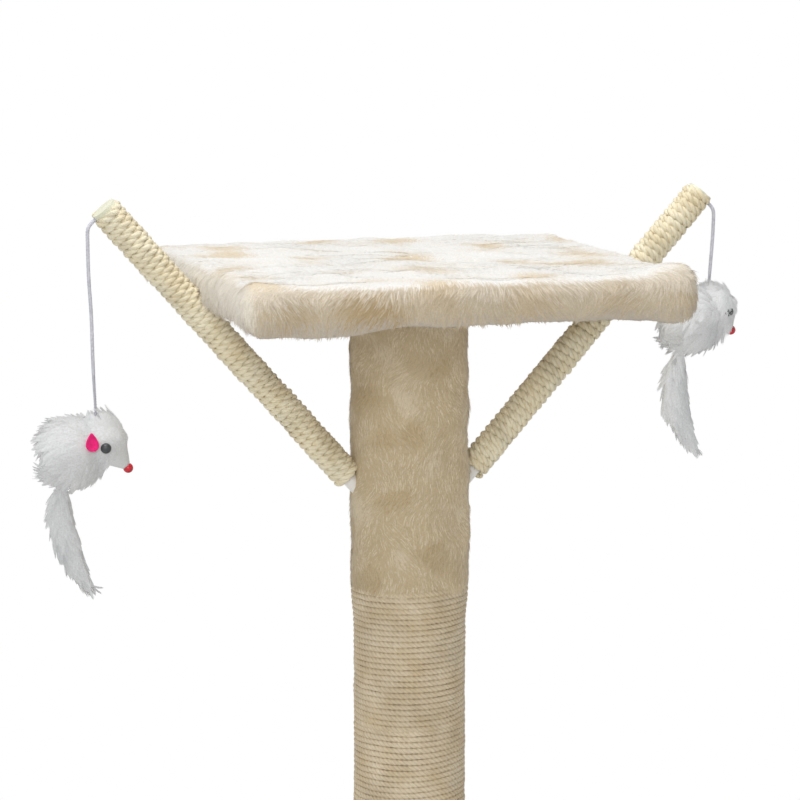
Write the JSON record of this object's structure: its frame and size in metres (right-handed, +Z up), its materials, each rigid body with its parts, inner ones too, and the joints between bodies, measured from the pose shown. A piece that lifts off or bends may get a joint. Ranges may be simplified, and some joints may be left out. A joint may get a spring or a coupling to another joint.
{
  "type": "cat scratching post",
  "caption": "Square plush base, sisal-wound post with a plush upper part, square plush perch and sloping rope-wound branches, each with a fur toy mouse hanging on a cord.",
  "frame": {"origin": "on the floor under the post's axis", "axes": "+Z up along the post; the branches lie in the XZ plane, +X towards the branch with the short cord; the front is -Y"},
  "size_m": [0.5062, 0.391, 0.7054],
  "materials": {
    "cream_plush": "matte",
    "beige_plush": "matte",
    "sisal": "matte",
    "pale_sisal": "matte",
    "cardboard": "matte",
    "particle_board": "matte",
    "pine": "satin",
    "felt": "matte",
    "steel": "satin",
    "white_plastic": "satin",
    "cream_plastic": "satin",
    "cord": "matte",
    "white_fur": "matte",
    "pink_felt": "matte",
    "black_bead": "gloss",
    "red_bead": "gloss"
  },
  "bodies": {
    "post": {"base_board": "particle_board", "base_plush_cover": "cream_plush", "base_staples": "steel", "foot_pads": "felt", "base_bolt": "steel", "base_washer": "steel", "post_tube": "cardboard", "lower_end_plug": "pine", "lower_threaded_insert": "steel", "upper_end_plug": "pine", "upper_threaded_insert": "steel", "post_plush_sleeve": "beige_plush", "branch_block": "pine", "post_rope_1": "sisal", "post_rope_2": "sisal", "post_rope_3": "sisal", "post_rope_4": "sisal", "rope_staples": "steel", "post_nails": "steel", "platform_board": "particle_board", "platform_plush_cover": "cream_plush", "platform_underside_plush": "cream_plush", "platform_staples": "steel", "platform_tee_nut": "steel", "platform_stud": "steel", "left_branch_rod": "white_plastic", "left_branch_rope_lower": "pale_sisal", "left_branch_rope_middle": "pale_sisal", "left_branch_rope_tip": "pale_sisal", "left_tip_plug": "cream_plastic", "left_string_anchor": "cord", "right_branch_rod": "white_plastic", "right_branch_rope_lower": "pale_sisal", "right_branch_rope_middle": "pale_sisal", "right_branch_rope_tip": "pale_sisal", "right_tip_plug": "cream_plastic", "right_string_anchor": "cord"},
    "left_string_top": {"left_string_bend": "cord"},
    "left_string": {"left_string_drop": "cord", "left_string_knot": "cord"},
    "left_mouse": {"left_mouse_body": "white_fur", "left_mouse_head": "white_fur", "left_mouse_nose": "red_bead", "left_mouse_eyes": "black_bead", "left_mouse_ears": "pink_felt"},
    "left_tail": {"left_mouse_tail": "white_fur"},
    "right_string_top": {"right_string_bend": "cord"},
    "right_string": {"right_string_drop": "cord", "right_string_knot": "cord"},
    "right_mouse": {"right_mouse_body": "white_fur", "right_mouse_head": "white_fur", "right_mouse_nose": "red_bead", "right_mouse_eyes": "black_bead", "right_mouse_ears": "pink_felt"},
    "right_tail": {"right_mouse_tail": "white_fur"}
  },
  "joints": [
    {"name": "left_swing_front_back", "type": "hinge", "parent": "post", "child": "left_string_top", "pos_m": [-0.22343, 0, 0.69072], "axis": [1, 0, 0], "range_deg": [-60, 60]},
    {"name": "left_swing_sideways", "type": "hinge", "parent": "left_string_top", "child": "left_string", "pos_m": [-0.22782, 0, 0.67932], "axis": [0, 1, 0], "range_deg": [-12, 60]},
    {"name": "left_mouse_spin", "type": "hinge", "parent": "left_string", "child": "left_mouse", "pos_m": [-0.22342, 0, 0.54762], "axis": [0, 0, 1], "continuous": true},
    {"name": "left_tail_flop", "type": "hinge", "parent": "left_mouse", "child": "left_tail", "pos_m": [-0.2464, 0.00694, 0.51296], "axis": [0.289, 0.9573, 0], "range_deg": [-15, 25]},
    {"name": "right_swing_front_back", "type": "hinge", "parent": "post", "child": "right_string_top", "pos_m": [0.22343, 0, 0.69072], "axis": [1, 0, 0], "range_deg": [-60, 60]},
    {"name": "right_swing_sideways", "type": "hinge", "parent": "right_string_top", "child": "right_string", "pos_m": [0.22782, 0, 0.67932], "axis": [0, 1, 0], "range_deg": [-60, 10]},
    {"name": "right_mouse_spin", "type": "hinge", "parent": "right_string", "child": "right_mouse", "pos_m": [0.22462, 0, 0.62402], "axis": [0, 0, 1], "continuous": true},
    {"name": "right_tail_flop", "type": "hinge", "parent": "right_mouse", "child": "right_tail", "pos_m": [0.20155, -0.00662, 0.58935], "axis": [-0.2756, 0.9613, 0], "range_deg": [-15, 25]}
  ]
}
